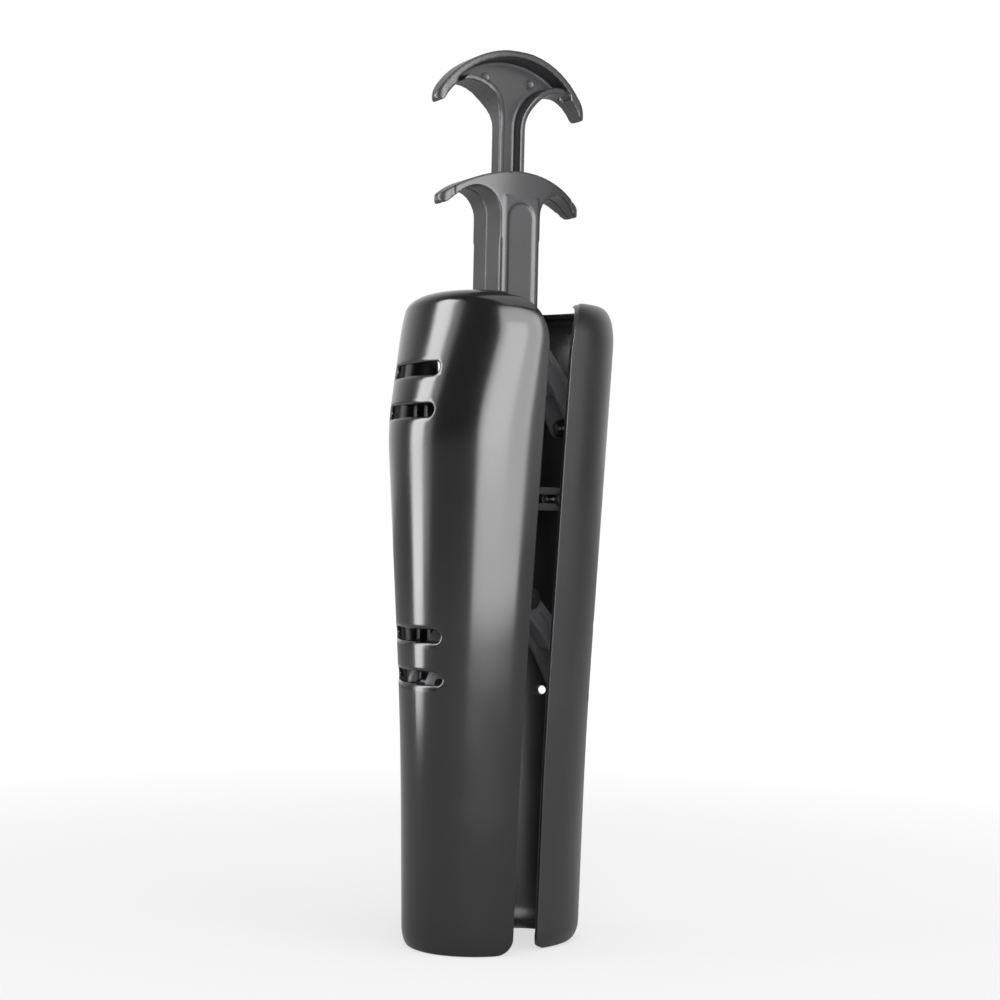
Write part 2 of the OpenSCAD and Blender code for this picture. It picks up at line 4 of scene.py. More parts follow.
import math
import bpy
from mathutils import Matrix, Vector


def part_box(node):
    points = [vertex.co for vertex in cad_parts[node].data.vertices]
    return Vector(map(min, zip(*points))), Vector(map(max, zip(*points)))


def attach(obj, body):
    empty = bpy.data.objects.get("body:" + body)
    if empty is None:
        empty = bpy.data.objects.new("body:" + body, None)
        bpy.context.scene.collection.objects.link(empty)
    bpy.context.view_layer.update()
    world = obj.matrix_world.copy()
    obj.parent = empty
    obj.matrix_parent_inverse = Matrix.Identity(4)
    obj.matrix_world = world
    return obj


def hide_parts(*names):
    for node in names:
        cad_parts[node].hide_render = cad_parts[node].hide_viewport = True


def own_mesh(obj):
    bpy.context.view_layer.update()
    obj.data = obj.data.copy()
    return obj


bl_info = {
    "name": "Boot shaper",
    "version": (1, 0, 0),
    "blender": (4, 5, 0),
    "location": "View3D > Sidebar > Boot shaper",
    "description": "Builds the mouldings, finishes and studio of a boot shaper",
    "category": "Object",
}

import bmesh
import bpy
from bpy.props import FloatProperty, PointerProperty, StringProperty

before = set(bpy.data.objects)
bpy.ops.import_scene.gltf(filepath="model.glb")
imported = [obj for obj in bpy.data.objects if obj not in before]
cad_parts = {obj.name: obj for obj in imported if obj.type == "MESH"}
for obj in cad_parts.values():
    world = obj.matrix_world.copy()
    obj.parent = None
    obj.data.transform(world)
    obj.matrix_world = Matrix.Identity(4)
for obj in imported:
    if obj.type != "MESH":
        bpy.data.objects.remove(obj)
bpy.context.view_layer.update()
MM = 0.001

# Both shells, in millimetres. A depth d is measured down from TOP.
TOP = 300.0  # level of the top edge before its drop and tilt
RIM = 7.4  # distance of the open edges from the middle plane
WALL = 2.0
CROWN = 60.0  # depth where the crown meets the leg
CROWN_BLEND = 12  # half the height of the soft turn there
ANKLE = 200  # depth from which the taper eases
ANKLE_BLEND = 40  # half the height of the soft turn there
ANKLE_EASE = 0.6  # share of the taper that is lost below the ankle
SIDE_TAPER = 0.096  # half width lost per millimetre of depth
EDGE_DROP = 2.5  # how far the top edge lies below TOP at the open edges
FOOT_ROUND = 9.0  # height of the rounded foot
TOP_RIM = 24  # heights over which the inner face draws away from the top edge ...
FOOT_RIM = 12  # ... and from the foot

# Front shell. A roll is how far the face draws in at the top, and over what height.
HALF_W = 49.3  # half width at the crown
FRONT_DEPTH = 46.3  # reach of the face from the open edges, at the crown
FRONT_LEAN = 0.055  # reach lost per millimetre below the crown
CROWN_LEAN = 0.19  # reach lost per millimetre above it
FRONT_TILT = 0.19  # rise of the top edge per millimetre of reach
FRONT_ROLL = (15, 9)
FRONT_SIDE_ROLL = (14.5, 22)
FRONT_FOOT = 3  # how far the face draws in at the foot

# Rear shell
NEST = 4.7  # how much narrower it is than the front shell, on each side
REAR_DEPTH = 42.6
REAR_LEAN = 0.034
REAR_FLARE = 0.029  # reach won per millimetre above the crown
REAR_TILT = 0.03
REAR_ROLL = (5, 14)
REAR_SIDE_ROLL = (16, 22)
REAR_FOOT = 5
REAR_FULLER = 0.0115  # half width won back per millimetre of depth ...
REAR_FULLER_END = 170  # ... down to this one

# Grid of the shells: rows down the leg, and steps around the half oval
ROW_FROM, ROW_STEP, ROWS = 14, 2.2, 126
LEAST_ROW = 0.14
AROUND = 96

# Corners of the open edges, as radius and height; a foot corner is cut from below
TOP_CORNER = (15, 25)
FOOT_CORNER = (8, -8)

# Openings: depths of their middles, and sizes
SLOT_DEPTHS = (35, 54, 155.6, 174.8)
SLOT_RADIUS = 3.0
HOLE_DEPTHS = (38, 55, 151, 168, 185)
HOLE_SPREAD = 19.5  # distance of both columns of holes from the middle
NO_STRAIGHT = 0.001  # half length of a round hole's straight sides
SLOT_LIP, HOLE_LIP = 1.0, 0.4  # scale of the rolled lip
# Rolled lip: steps away from the hole's wall, and how deep each lies under the outer face
LIP = ((1.9, -0.3), (1.1, 0.06), (0.65, 0.24), (0.3, 0.5), (0.08, 0.85), (0.0, 1.25))

# Band along a shell's middle in which the frame node's ribs are kept
RIB_HALF_W = 6.45
RIB_INNER = 20  # distance of the band's inner side from the middle plane
RIB_SINK = 0.9  # how far the ribs run into the wall, short of its outer face
RIB_STEP, RIB_STEPS = 4.9, 60
RIB_TOP = 6.0  # depth where the band ends

# Handle and grip: rounds of smoothing, and the grip's grid as a share of the handle's
HANDLE_ROUNDS, GRIP_ROUNDS = 26, 18
GRIP_GRID = 1.15
# Round marks of the tool on the handle's web: their place, and rings as radius and y
MARK_X, MARK_Z = 12.1, 403.7
MARK_RINGS = ((2.5, 2.4), (2.5, 1.7), (2.35, 1.55), (2.0, 1.55), (1.8, 1.7), (1.6, 1.8))

# Return spring: wire, coils with the two closed ones, and the grid of the wire
WIRE = 1.3
COILS = 7
CLOSED_RISE = WIRE * 1.02
COIL_STEPS, WIRE_SIDES = 36, 12

# Camera, in metres and degrees; azimuths are counted from +X, seen from above
CAMERA_PLACE = (-0.438, -0.7409, 0.1958)
CAMERA_AZIMUTH = 239.41
CAMERA_ROLL = -1.24
CAMERA_RISE = 0.0235  # vertical shift of the picture
SENSOR = 36

# Lamps, in metres: azimuth to the right of the camera's side, elevation, distance, size,
# share of the power that is set, and whether it lights gloss only
LAMPS = {
    "broad_right": (62, 12, 1.5, (1.5, 1.3), 0.9, False),
    "narrow_left": (-80, 10, 1.4, (0.35, 1.3), 0.35, False),
    "overhead": (20, 78, 1.4, (1.2, 1.2), 0.8, False),
    "fill_front": (3, 8, 1.1, (0.6, 0.6), 0.4, False),
    "gloss_right": (12, 14, 0.46, (0.52, 0.58), 0.75, True),
    "gloss_left": (-89, 14, 0.46, (0.14, 0.58), 0.3, True),
}
AIM_HEIGHT = 0.2  # the lamps face this height on the object's axis

# Sky and floor
BACKDROP = (0.509, 0.861, 0)  # direction of the white backdrop, behind the object
SKY = 0.42
SKY_GLOSS_CUT = -0.3  # change of the sky's level in glossy faces
PAPER_GLOW = 1.06
FLOOR_RADII = (9000, 400)  # millimetres
FLOOR_SIDES = 48


# ---- shapes of the shells ----

def soft_ramp(d, start, blend):
    """Rise from 0, smoothly, to a straight ramp past a starting point."""
    if d <= start - blend:
        return 0.0
    return d - start if d >= start + blend else (d - start + blend) ** 2 / (4 * blend)


def shoulder(d, draw, height):
    """How far a rounded shoulder draws in, d below its top."""
    if d >= height:
        return 0.0
    return draw * (1 - math.sqrt(max(0.0, 1 - ((height - d) / height) ** 2)))


def foot(d, draw):
    """How far the rounded foot draws in at depth d."""
    return shoulder(TOP - d, draw, FOOT_ROUND)


def taper(d):
    """Depth below the crown, counted less past the ankle, where the leg narrows less."""
    return (d - CROWN) - ANKLE_EASE * soft_ramp(d, ANKLE, ANKLE_BLEND)


def front_depth(d):
    """Reach of the front shell, with a soft turn between crown and leg."""
    leg = soft_ramp(d, CROWN, CROWN_BLEND) - ANKLE_EASE * soft_ramp(d, ANKLE, ANKLE_BLEND)
    slope = FRONT_LEAN * leg + CROWN_LEAN * soft_ramp(CROWN - d, 0, CROWN_BLEND)
    return FRONT_DEPTH - slope - shoulder(d, *FRONT_ROLL) - foot(d, FRONT_FOOT)


def front_width(d):
    """Half width of the front shell."""
    return HALF_W - SIDE_TAPER * taper(d) - shoulder(d, *FRONT_SIDE_ROLL) - foot(d, FRONT_FOOT)


def rear_depth(d):
    """Reach of the rear shell, which flares a little above the crown."""
    slope = REAR_LEAN * taper(d) if d > CROWN else -REAR_FLARE * (CROWN - d)
    return REAR_DEPTH - slope - shoulder(d, *REAR_ROLL) - foot(d, REAR_FOOT)


def rear_width(d):
    """Half width of the rear shell, which nests in the front one."""
    fuller = REAR_FULLER * (min(d, REAR_FULLER_END) - CROWN)
    return (HALF_W - NEST - SIDE_TAPER * taper(d) + fuller
            - shoulder(d, *REAR_SIDE_ROLL) - foot(d, REAR_FOOT))


class Shell:
    """The half-oval form of one shell; side is -1 at the front and 1 at the rear."""

    def __init__(self, side, depth, width, tilt):
        self.side = side
        self.depth = depth
        self.width = width
        self.tilt = tilt

    def point(self, d, angle, inset):
        """A point d below the top edge, inset from the outer face, angle from the middle."""
        upper = max(0.0, 1 - d / CROWN)
        reach = (self.depth(d) - inset) * math.cos(angle)
        z = TOP - d - EDGE_DROP * upper + self.tilt * upper * reach
        z += inset * (max(0.0, 1 - (TOP - d) / FOOT_RIM) - max(0.0, 1 - d / TOP_RIM))
        return (self.side * (RIM + reach), (self.width(d) - inset) * math.sin(angle), z)

    def outer_x(self, y, z):
        """Distance of the outer face from the middle plane, at y and level z."""
        d = TOP - z
        for _ in range(8):
            upper = max(0.0, 1 - d / CROWN)
            reach = self.depth(d) * math.sqrt(max(0.0, 1 - (y / self.width(d)) ** 2))
            d = TOP - z - EDGE_DROP * upper + self.tilt * upper * reach
        return RIM + reach


FRONT = Shell(-1, front_depth, front_width, FRONT_TILT)
REAR = Shell(1, rear_depth, rear_width, REAR_TILT)


def shell_depths():
    """Depths of the rows of the grid: close together where the surface turns."""
    depths = [FRONT_ROLL[1] * (1 - math.cos(math.radians(a))) for a in range(0, 91, 6)]
    depths += [ROW_FROM + ROW_STEP * i for i in range(ROWS)]
    depths += [TOP - FOOT_ROUND * (1 - math.sin(math.radians(a))) for a in range(0, 91, 9)]
    kept = [0.0]
    for d in sorted(depths):
        if d - kept[-1] > LEAST_ROW and d <= TOP:
            kept.append(d)
    kept[-1] = TOP
    return kept


# ---- mesh helpers ----

def new_object(name, verts, faces):
    """An object from points in millimetres."""
    mesh = bpy.data.meshes.new(name)
    mesh.from_pydata([(x * MM, y * MM, z * MM) for x, y, z in verts], [], faces)
    mesh.validate()
    work = bmesh.new()
    work.from_mesh(mesh)
    bmesh.ops.recalc_face_normals(work, faces=work.faces)
    work.to_mesh(mesh)
    work.free()
    obj = bpy.data.objects.new(name, mesh)
    bpy.context.scene.collection.objects.link(obj)
    return obj


def circle(radius, count):
    """Points around a circle."""
    turns = [math.radians(360 / count * i) for i in range(count)]
    return [(radius * math.cos(a), radius * math.sin(a)) for a in turns]


def walls_between(rings):
    """Faces between neighbouring closed rings of equal length."""
    n = len(rings[0])
    return [(k * n + i, k * n + (i + 1) % n, (k + 1) * n + (i + 1) % n, (k + 1) * n + i)
            for k in range(len(rings) - 1) for i in range(n)]


def loft(rings):
    """A closed body through rings of equal length, capped at both ends."""
    n = len(rings[0])
    verts = [p for ring in rings for p in ring]
    caps = [tuple(range(n)), tuple(range((len(rings) - 1) * n, len(rings) * n))]
    return verts, walls_between(rings) + caps


def open_wall(rings):
    """A wall whose rings each run along its outer face and back along its inner one."""
    n = len(rings[0])
    verts = [p for ring in rings for p in ring]
    faces = walls_between(rings)
    for k in (0, len(rings) - 1):
        faces += [(k * n + i, k * n + i + 1, k * n + n - 2 - i, k * n + n - 1 - i)
                  for i in range(n // 2 - 1)]
    return verts, faces


def join_bodies(bodies):
    """One list of points and faces from several."""
    verts, faces = [], []
    for body_verts, body_faces in bodies:
        start = len(verts)
        verts += body_verts
        faces += [tuple(i + start for i in face) for face in body_faces]
    return verts, faces


def bake_modifiers(obj):
    """Turn the modifiers of an object into mesh."""
    graph = bpy.context.evaluated_depsgraph_get()
    mesh = bpy.data.meshes.new_from_object(obj.evaluated_get(graph))
    obj.modifiers.clear()
    old = obj.data
    obj.data = mesh
    bpy.data.meshes.remove(old)


def cut(obj, cutter, operation="DIFFERENCE"):
    """Boolean with a cutter that is used up."""
    modifier = obj.modifiers.new("cut", "BOOLEAN")
    modifier.operation = operation
    modifier.solver = "MANIFOLD"
    modifier.object = cutter
    bake_modifiers(obj)
    bpy.data.objects.remove(cutter)
    if not obj.data.polygons:
        raise RuntimeError(f"{obj.name}: the boolean left nothing")


def shade(obj, degrees):
    """Smooth shading that keeps edges sharper than an angle."""
    mesh = obj.data
    mesh.shade_smooth()
    work = bmesh.new()
    work.from_mesh(mesh)
    limit = math.radians(degrees)
    for edge in work.edges:
        edge.smooth = not (len(edge.link_faces) == 2 and edge.calc_face_angle(0) > limit)
    work.to_mesh(mesh)
    work.free()


def merge_into(target, other):
    """Join another object, which is used up, into a piece."""
    work = bmesh.new()
    work.from_mesh(target.data)
    work.from_mesh(other.data)
    work.to_mesh(target.data)
    work.free()
    bpy.data.objects.remove(other)


def node_copy(node, name):
    """A free copy of a frame node's mesh."""
    obj = bpy.data.objects.new(name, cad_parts[node].data.copy())
    obj.data.name = name
    bpy.context.scene.collection.objects.link(obj)
    obj.data.materials.clear()
    work = bmesh.new()
    work.from_mesh(obj.data)
    bmesh.ops.remove_doubles(work, verts=work.verts, dist=0.002 * MM)
    work.to_mesh(obj.data)
    work.free()
    return obj


def soften(obj, node, voxel, rounds):
    """Rebuild a moulding on a fine even grid, lay it on its node and round its edges."""
    remesh = obj.modifiers.new("remesh", "REMESH")
    remesh.mode = "VOXEL"
    remesh.voxel_size = voxel * MM
    snap = obj.modifiers.new("snap", "SHRINKWRAP")
    snap.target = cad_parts[node]
    snap.wrap_method = "NEAREST_SURFACEPOINT"
    smooth = obj.modifiers.new("smooth", "SMOOTH")
    smooth.factor = 0.5
    smooth.iterations = rounds
    bake_modifiers(obj)
    obj.data.shade_smooth()


# ---- bodies of the shells ----

def opening_outline(half_len, radius):
    """Outline of an opening with round ends, each point with its outward direction."""
    outline = []
    straight_steps = max(1, round(half_len / 1.2))
    for end in (1, -1):
        for turn in range(0, 181, 10):
            a = math.radians(turn - 90 * end)
            outline.append((end * half_len + radius * math.cos(a), radius * math.sin(a),
                            math.cos(a), math.sin(a)))
        for i in range(1, 2 * straight_steps):
            outline.append((end * half_len * (1 - i / straight_steps), end * radius, 0, end))
    return outline


def opening_cutter(shell, y, z, half_len, radius, lip):
    """A cutter for an opening with a rolled lip that follows the outer face."""
    rings = []
    for out, deep in LIP:
        ring = []
        for dy, dz, out_y, out_z in opening_outline(half_len, radius):
            at_y, at_z = y + dy + out_y * out * lip, z + dz + out_z * out * lip
            ring.append((shell.outer_x(at_y, at_z) - deep * lip, at_y, at_z))
        rings.append(ring)
    # flat ends, clear of the wall on both sides
    outside = max(p[0] for p in rings[0]) + 2
    inside = min(p[0] for p in rings[-1]) - 4
    rings.insert(0, [(outside, v, w) for _, v, w in rings[0]])
    rings.append([(inside, v, w) for _, v, w in rings[-1]])
    return loft([[(shell.side * u, v, w) for u, v, w in ring] for ring in rings])


def corner_cutter(shell, z, radius, height):
    """A bar across the open side that rounds the corner of its edge."""
    inner, top, half_len = RIM - 5, z + height / 2, 90
    edge = []
    for i in range(25):
        t = math.radians(90 * i / 24)
        edge.append((RIM + radius - radius * math.cos(t), z - height + height * math.sin(t)))
    outline = [(inner, z - height)] + edge + [(RIM + radius, top), (inner, top)]
    return loft([[(shell.side * x, y, w) for x, w in outline] for y in (-half_len, half_len)])


def rib_band(shell):
    """The band along the shell's middle in which its ribs are kept."""
    rings = []
    for k in range(RIB_STEPS + 1):
        z = TOP - (TOP - RIB_STEP * k if k < RIB_STEPS else RIB_TOP)
        outer = shell.outer_x(0, z) - RIB_SINK
        rings.append([(shell.side * x, y, z)
                      for x, y in ((RIB_INNER, -RIB_HALF_W), (outer, -RIB_HALF_W),
                                   (outer, RIB_HALF_W), (RIB_INNER, RIB_HALF_W))])
    return loft(rings)


def shell_wall(shell):
    """The smooth wall of a shell, with level edges at the top and the foot."""
    angles = [math.radians(-90 + 180 * i / AROUND) for i in range(AROUND + 1)]
    rings = []
    for d in shell_depths():
        lift = WALL if d == 0 else -WALL if d == TOP else 0
        outer = [shell.point(d, a, 0) for a in angles]
        inner = [shell.point(d, a, WALL) for a in reversed(angles)]
        rings.append(outer + [(x, y, z + lift) for x, y, z in inner])
    return open_wall(rings)


def half_shell(name, node, shell, openings):
    """One shell: smooth wall, cut openings, and the ribs of the frame node inside."""
    obj = new_object(name, *shell_wall(shell))
    holes = join_bodies([opening_cutter(shell, *opening) for opening in openings])
    cut(obj, new_object("openings", *holes))
    cut(obj, new_object("top_corner", *corner_cutter(shell, TOP - EDGE_DROP, *TOP_CORNER)))
    cut(obj, new_object("foot_corner", *corner_cutter(shell, 0, *FOOT_CORNER)))
    ribs = node_copy(node, name + "_ribs")
    cut(ribs, new_object("rib_band", *rib_band(shell)), "INTERSECT")
    merge_into(obj, ribs)
    shade(obj, degrees=32)
    return obj


# ---- materials ----

def linear(code):
    """An sRGB hex colour as linear RGBA."""
    parts = [int(code[i:i + 2], 16) / 255 for i in (1, 3, 5)]
    return tuple(c / 12.92 if c <= 0.04045 else ((c + 0.055) / 1.055) ** 2.4 for c in parts) + (1,)


def add_node(tree, kind, inputs=None, **settings):
    """Add a node: inputs take a source or a constant, settings name its properties."""
    node = tree.nodes.new(kind)
    for key, value in settings.items():
        setattr(node, key, value)
    for key, value in (inputs or {}).items():
        if isinstance(value, bpy.types.NodeSocket):
            tree.links.new(value, node.inputs[key])
        else:
            node.inputs[key].default_value = value
    return node


def new_finish(name, colour, pale, roughness, spread, patches, low=0.0, high=1.0):
    """A material of two near tones in patches, so many a metre, whose gloss varies with them:
    it changes between the levels low and high of the patches' noise."""
    material = bpy.data.materials.new(name)
    material.use_nodes = True
    tree = material.node_tree
    surface = tree.nodes["Principled BSDF"]
    place = add_node(tree, "ShaderNodeTexCoord").outputs["Object"]
    cloud = add_node(tree, "ShaderNodeTexNoise", {"Vector": place, "Scale": patches, "Detail": 3.0})
    tone = add_node(tree, "ShaderNodeMix", {"Factor": cloud.outputs["Fac"], "A": linear(colour),
                                            "B": linear(pale)}, data_type="RGBA")
    tree.links.new(tone.outputs["Result"], surface.inputs["Base Color"])
    haze = add_node(tree, "ShaderNodeMapRange", {
        "Value": cloud.outputs["Fac"], "From Min": low, "From Max": high,
        "To Min": roughness - spread, "To Max": roughness + spread})
    tree.links.new(haze.outputs["Result"], surface.inputs["Roughness"])
    return material, tree, surface, place


def plastic(name, colour, pale, roughness, spread, grain_mm, relief, edge_mm, scratches=0.0):
    """A moulded plastic: a fine relief, and edges that look rounded by edge_mm."""
    material, tree, surface, place = new_finish(
        name, colour, pale, roughness, spread, patches=28.0, low=0.3, high=0.7)
    surface.inputs["IOR"].default_value = 1.54
    grain = add_node(tree, "ShaderNodeTexNoise", {"Vector": place, "Scale": 1000 / grain_mm,
                                                  "Detail": 2.0})
    height = grain.outputs["Fac"]
    if scratches:
        along = add_node(tree, "ShaderNodeMapping", {"Vector": place, "Scale": (1, 1, 0.04)})
        lines = add_node(tree, "ShaderNodeTexNoise", {"Vector": along.outputs["Vector"],
                                                      "Scale": 900.0, "Detail": 1.0})
        both = add_node(tree, "ShaderNodeMath", {0: lines.outputs["Fac"], 1: scratches, 2: height},
                        operation="MULTIPLY_ADD")
        height = both.outputs["Value"]
    bump = add_node(tree, "ShaderNodeBump", {"Height": height, "Strength": relief,
                                             "Distance": 0.04 * MM})
    if edge_mm:
        edges = add_node(tree, "ShaderNodeBevel", {"Radius": edge_mm * MM}, samples=6)
        tree.links.new(edges.outputs["Normal"], bump.inputs["Normal"])
    tree.links.new(bump.outputs["Normal"], surface.inputs["Normal"])
    return material


def metal(name, colour, pale, roughness, spread, grain_mm, stretch, relief):
    """A metal: a fine relief, stretched into lines where stretch is under 1."""
    material, tree, surface, place = new_finish(
        name, colour, pale, roughness, spread, patches=220.0)
    surface.inputs["Metallic"].default_value = 1.0
    along = add_node(tree, "ShaderNodeMapping", {"Vector": place, "Scale": stretch})
    lines = add_node(tree, "ShaderNodeTexNoise", {"Vector": along.outputs["Vector"],
                                                  "Scale": 1000 / grain_mm, "Detail": 2.0})
    bump = add_node(tree, "ShaderNodeBump", {"Height": lines.outputs["Fac"], "Strength": relief,
                                             "Distance": 0.03 * MM})
    tree.links.new(bump.outputs["Normal"], surface.inputs["Normal"])
    return material


def make_finishes(shell_colour, rear_colour, handle_colour):
    """All finishes of the object."""
    return {
        # High-impact polystyrene from a polished tool: deep gloss, faint flow lines
        "shell": plastic("hips_polished_moulding", shell_colour, "#1b1b1d",
                         0.17, 0.03, 6.0, 0.10, 0.9, scratches=0.35),
        # The same plastic from a blasted tool: soft satin, even fine grain
        "rear": plastic("hips_blasted_moulding", rear_colour, "#242427",
                        0.32, 0.04, 0.5, 0.28, 0.8),
        # ABS from a spark-eroded tool: dark grey satin with a faint sand grain
        "handle": plastic("abs_eroded_moulding", handle_colour, "#38383b",
                          0.36, 0.04, 0.7, 0.03, 0),
        # Glass-filled nylon: grey and dry, with a slightly coarse skin
        "arm": plastic("nylon_filled_moulding", "#747478", "#828286",
                       0.50, 0.06, 0.6, 0.45, 0.6),
        # Acetal, turned from rod: waxy white with a fine skin
        "acetal": plastic("acetal_turned", "#d9d5c8", "#e4e1d6",
                          0.32, 0.04, 0.8, 0.25, 0.3),
        # Mild steel, zinc plated in a barrel: pale, faintly clouded
        "zinc": metal("steel_zinc_plated", "#b9bcc0", "#cfd1d3",
                      0.30, 0.07, 0.5, (1, 1, 1), 0.25),
        # Drawn bright steel: lines along the upright push rod
        "drawn": metal("steel_drawn_bright", "#bcbdc0", "#cccdd0",
                       0.22, 0.05, 0.35, (1, 1, 0.03), 0.3),
        # Patented spring wire: darker, oiled, with a slightly stretched grain
        "wire": metal("spring_wire_oiled", "#8d8e92", "#a3a4a8",
                      0.27, 0.05, 0.4, (1, 1, 0.4), 0.3),
    }


FINISHES = {}
NODE_FINISH = {
    "arm": ["drive_bar", "front_upper_arm", "front_lower_arm", "rear_upper_arm",
            "rear_lower_arm"],
    "zinc": ["column_screws", "rod_washer", "rod_nut", "column_pin_clips", "front_pin_clips",
             "rear_pin_clips"],
    "drawn": ["push_rod", "rod_cross_pin", "upper_arm_pins", "lower_arm_pins",
              "front_hinge_pins", "rear_hinge_pins", "front_drive_pin", "rear_drive_pin"],
    "acetal": ["rod_bush"],
}


def give(obj, finish):
    """Put a finish on every slot of an object."""
    if not obj.material_slots:
        obj.data.materials.append(FINISHES[finish])
    for slot in obj.material_slots:
        slot.material = FINISHES[finish]


# ---- settings ----

class BootShaperShellSettings(bpy.types.PropertyGroup):
    """Sizes and colours of the two shells"""
    shell_colour: StringProperty(
        name="Front shell colour", description="sRGB hex of the polished shell",
        default="#131314")
    rear_colour: StringProperty(
        name="Rear shell colour", description="sRGB hex of the satin shell",
        default="#1c1c1e")
    slot_length: FloatProperty(
        name="Slot length", description="Length of a ventilation slot",
        default=0.041, min=0.028, max=0.041, subtype="DISTANCE", unit="LENGTH")
    hole_width: FloatProperty(
        name="Hole width", description="Diameter of a round ventilation hole",
        default=0.0044, min=0.003, max=0.006, subtype="DISTANCE", unit="LENGTH")


class BootShaperHandleSettings(bpy.types.PropertyGroup):
    """Colour and edge rounding of the handle and the grip"""
    handle_colour: StringProperty(
        name="Handle colour", description="sRGB hex of the handle and grip",
        default="#2e2e30")
    edge_grid: FloatProperty(
        name="Edge grid", description="Grid on which the handle's edges are rounded",
        default=0.0004, min=0.0003, max=0.001, subtype="DISTANCE", unit="LENGTH")


class BootShaperStageSettings(bpy.types.PropertyGroup):
    """Lens and light of the studio"""
    lens: FloatProperty(
        name="Lens", description="Focal length of the camera on a 36 mm frame",
        default=66.0, min=35, max=120, subtype="DISTANCE_CAMERA", unit="CAMERA")
    key: FloatProperty(
        name="Lamp power", description="Power of which each lamp takes its share, in watts",
        default=9.0, min=0, max=60, subtype="POWER", unit="POWER")


# ---- operators of the finishes and pieces ----

class BOOTSHAPER_OT_finishes(bpy.types.Operator):
    """Make the finishes and put them on the frame's nodes"""
    bl_idname = "boot_shaper.finishes"
    bl_label = "Finishes"

    def execute(self, context):
        shells = context.scene.boot_shaper_shells
        handles = context.scene.boot_shaper_handles
        FINISHES.update(make_finishes(shells.shell_colour, shells.rear_colour,
                                      handles.handle_colour))
        for finish, nodes in NODE_FINISH.items():
            for node in nodes:
                give(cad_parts[node], finish)
        return {"FINISHED"}


class BOOTSHAPER_OT_front_shell(bpy.types.Operator):
    """Build the polished front shell with its four slots"""
    bl_idname = "boot_shaper.front_shell"
    bl_label = "Front shell"

    def execute(self, context):
        straight = context.scene.boot_shaper_shells.slot_length / MM / 2 - SLOT_RADIUS
        openings = [(0, TOP - d, straight, SLOT_RADIUS, SLOT_LIP) for d in SLOT_DEPTHS]
        obj = half_shell("front_half_shell", "front_shell", FRONT, openings)
        give(obj, "shell")
        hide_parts("front_shell")
        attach(obj, "front_shell")
        return {"FINISHED"}


class BOOTSHAPER_OT_rear_shell(bpy.types.Operator):
    """Build the satin rear shell with its two columns of holes"""
    bl_idname = "boot_shaper.rear_shell"
    bl_label = "Rear shell"

    def execute(self, context):
        radius = context.scene.boot_shaper_shells.hole_width / MM / 2
        openings = [(side * HOLE_SPREAD, TOP - d, NO_STRAIGHT, radius, HOLE_LIP)
                    for d in HOLE_DEPTHS for side in (-1, 1)]
        obj = half_shell("rear_half_shell", "rear_shell", REAR, openings)
        give(obj, "rear")
        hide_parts("rear_shell")
        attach(obj, "rear_shell")
        return {"FINISHED"}


class BOOTSHAPER_OT_handle(bpy.types.Operator):
    """Build the upper handle with rounded edges and the two round marks of its tool"""
    bl_idname = "boot_shaper.handle"
    bl_label = "Upper handle"

    def execute(self, context):
        grid = context.scene.boot_shaper_handles.edge_grid / MM
        obj = node_copy("upper_handle", "upper_handle_moulding")
        soften(obj, "upper_handle", grid, HANDLE_ROUNDS)
        marks = [loft([[(x + u, y, MARK_Z + w) for u, w in circle(radius, 36)]
                       for radius, y in MARK_RINGS])
                 for x in (-MARK_X, MARK_X)]
        pads = new_object("marks", *join_bodies(marks))
        shade(pads, degrees=30)
        merge_into(obj, pads)
        give(obj, "handle")
        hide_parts("upper_handle")
        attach(obj, "plunger")
        return {"FINISHED"}


class BOOTSHAPER_OT_grip(bpy.types.Operator):
    """Build the two halves of the finger grip and column with rounded edges"""
    bl_idname = "boot_shaper.grip"
    bl_label = "Finger grip"

    def execute(self, context):
        grid = context.scene.boot_shaper_handles.edge_grid / MM * GRIP_GRID
        for node in ("grip_left", "grip_right"):
            obj = node_copy(node, node + "_moulding")
            soften(obj, node, grid, GRIP_ROUNDS)
            give(obj, "handle")
            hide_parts(node)
            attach(obj, "column")
        return {"FINISHED"}


class BOOTSHAPER_OT_spring(bpy.types.Operator):
    """Wind the return spring from round wire"""
    bl_idname = "boot_shaper.spring"
    bl_label = "Return spring"

    def execute(self, context):
        low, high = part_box("return_spring")
        base, length = low.z / MM, (high.z - low.z) / MM
        half = WIRE / 2
        radius = (high.x - low.x) / MM / 2 - half
        rise = (length - WIRE - 2 * CLOSED_RISE) / (COILS - 2)
        rings = []
        for i in range(COILS * COIL_STEPS + 1):
            turn = i / COIL_STEPS
            z = base + half + CLOSED_RISE * min(turn, 1) + rise * min(max(turn - 1, 0), COILS - 2)
            z += CLOSED_RISE * max(turn - COILS + 1, 0)
            a = 2 * math.pi * turn
            ring = []
            for j in range(WIRE_SIDES):
                b = 2 * math.pi * j / WIRE_SIDES
                out = radius + half * math.cos(b)
                ring.append((out * math.cos(a), out * math.sin(a), z + half * math.sin(b)))
            rings.append(ring)
        obj = new_object("return_spring_wire", *loft(rings))
        shade(obj, degrees=40)
        give(obj, "wire")
        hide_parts("return_spring")
        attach(obj, "column")
        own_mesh(obj)
        return {"FINISHED"}


# ---- stage ----

